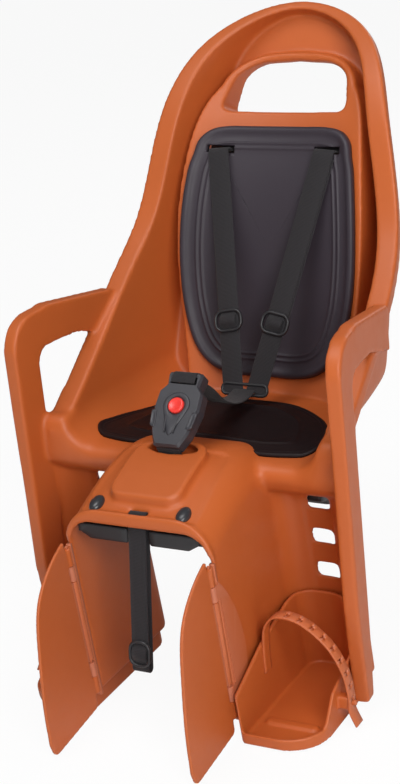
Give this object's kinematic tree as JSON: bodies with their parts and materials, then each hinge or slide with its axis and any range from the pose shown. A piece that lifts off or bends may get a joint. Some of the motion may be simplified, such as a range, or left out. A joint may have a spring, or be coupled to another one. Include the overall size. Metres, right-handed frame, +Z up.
{
  "type": "child bike seat",
  "caption": "Moulded child bike seat for a rear carrier, with leg wells, height-set footrests, padded back, harness, hinged spoke guards and a knob-driven clamp under the hump.",
  "frame": {"origin": "middle of the carrier's top face, under the front half of the pan", "axes": "+X to the child's left, -Y forward in the way the child looks, +Z up; the pan is level and the backrest leans back"},
  "size_m": [0.4, 0.5951, 0.6913],
  "materials": {
    "terracotta_plastic": "fine moulded texture",
    "back_foam": "soft moulded foam",
    "seat_foam": "soft moulded foam",
    "webbing": "woven webbing",
    "black_plastic": "satin",
    "buckle_plastic": "satin",
    "red_plastic": "gloss",
    "bolt_caps": "satin black dome",
    "steel": "zinc plated"
  },
  "bodies": {
    "seat": {"seat_shell": "terracotta_plastic", "guard_leaf_left": "terracotta_plastic", "guard_leaf_right": "terracotta_plastic", "hinge_pin_left": "terracotta_plastic", "hinge_pin_right": "terracotta_plastic", "backrest_pad": "back_foam", "seat_pad": "seat_foam", "shoulder_strap_left": "webbing", "shoulder_strap_right": "webbing", "buckle_web": "webbing", "crotch_strap": "webbing", "frame_strap": "webbing", "strap_keeper_left": "black_plastic", "strap_keeper_right": "black_plastic", "strap_adjuster_left": "black_plastic", "strap_adjuster_right": "black_plastic", "harness_link": "black_plastic", "frame_strap_slider": "black_plastic", "carrier_base": "black_plastic", "buckle_back": "buckle_plastic", "buckle_front": "buckle_plastic", "front_bolts": "bolt_caps", "rear_screws": "steel"},
    "buckle_release": {"buckle_button": "red_plastic"},
    "left_footrest": {"footrest_left": "terracotta_plastic", "footrest_strap_left": "terracotta_plastic"},
    "right_footrest": {"footrest_right": "terracotta_plastic", "footrest_strap_right": "terracotta_plastic"},
    "left_guard": {"spoke_guard_left": "terracotta_plastic"},
    "right_guard": {"spoke_guard_right": "terracotta_plastic"},
    "left_jaw": {"clamp_jaw_left": "black_plastic"},
    "right_jaw": {"clamp_jaw_right": "black_plastic"},
    "knob": {"clamp_spindle": "steel", "clamp_knob": "black_plastic", "knob_indicator": "red_plastic"}
  },
  "joints": [
    {"name": "button_press", "type": "slide", "parent": "seat", "child": "buckle_release", "axis": [0, 0.6947, -0.7193], "range_m": [0, 0.003], "stiffness_N_per_m": 900},
    {"name": "left_footrest_height", "type": "slide", "parent": "seat", "child": "left_footrest", "axis": [0, -0.1392, 0.9903], "range_m": [0, 0.086]},
    {"name": "right_footrest_height", "type": "slide", "parent": "seat", "child": "right_footrest", "axis": [0, -0.1392, 0.9903], "range_m": [0, 0.086]},
    {"name": "left_guard_fold", "type": "hinge", "parent": "seat", "child": "left_guard", "pos_m": [0.084, -0.165, -0.005], "axis": [0, 0.1165, -0.9932], "range_deg": [0, 50]},
    {"name": "right_guard_fold", "type": "hinge", "parent": "seat", "child": "right_guard", "pos_m": [-0.084, -0.165, -0.005], "axis": [0, -0.1165, 0.9932], "range_deg": [0, 50]},
    {"name": "knob_turn", "type": "hinge", "parent": "seat", "child": "knob", "pos_m": [0, 0.04, 0.008], "axis": [1, 0, 0], "range_deg": [0, 540]},
    {"name": "left_jaw_slide", "type": "slide", "parent": "seat", "child": "left_jaw", "axis": [1, 0, 0], "range_m": [0, 0.006]},
    {"name": "right_jaw_slide", "type": "slide", "parent": "seat", "child": "right_jaw", "axis": [-1, 0, 0], "range_m": [0, 0.006]}
  ],
  "couplings": [
    {"joint": "left_jaw_slide", "follows": "knob_turn", "m_per_rad": 0.000636},
    {"joint": "right_jaw_slide", "follows": "knob_turn", "m_per_rad": 0.000636}
  ]
}
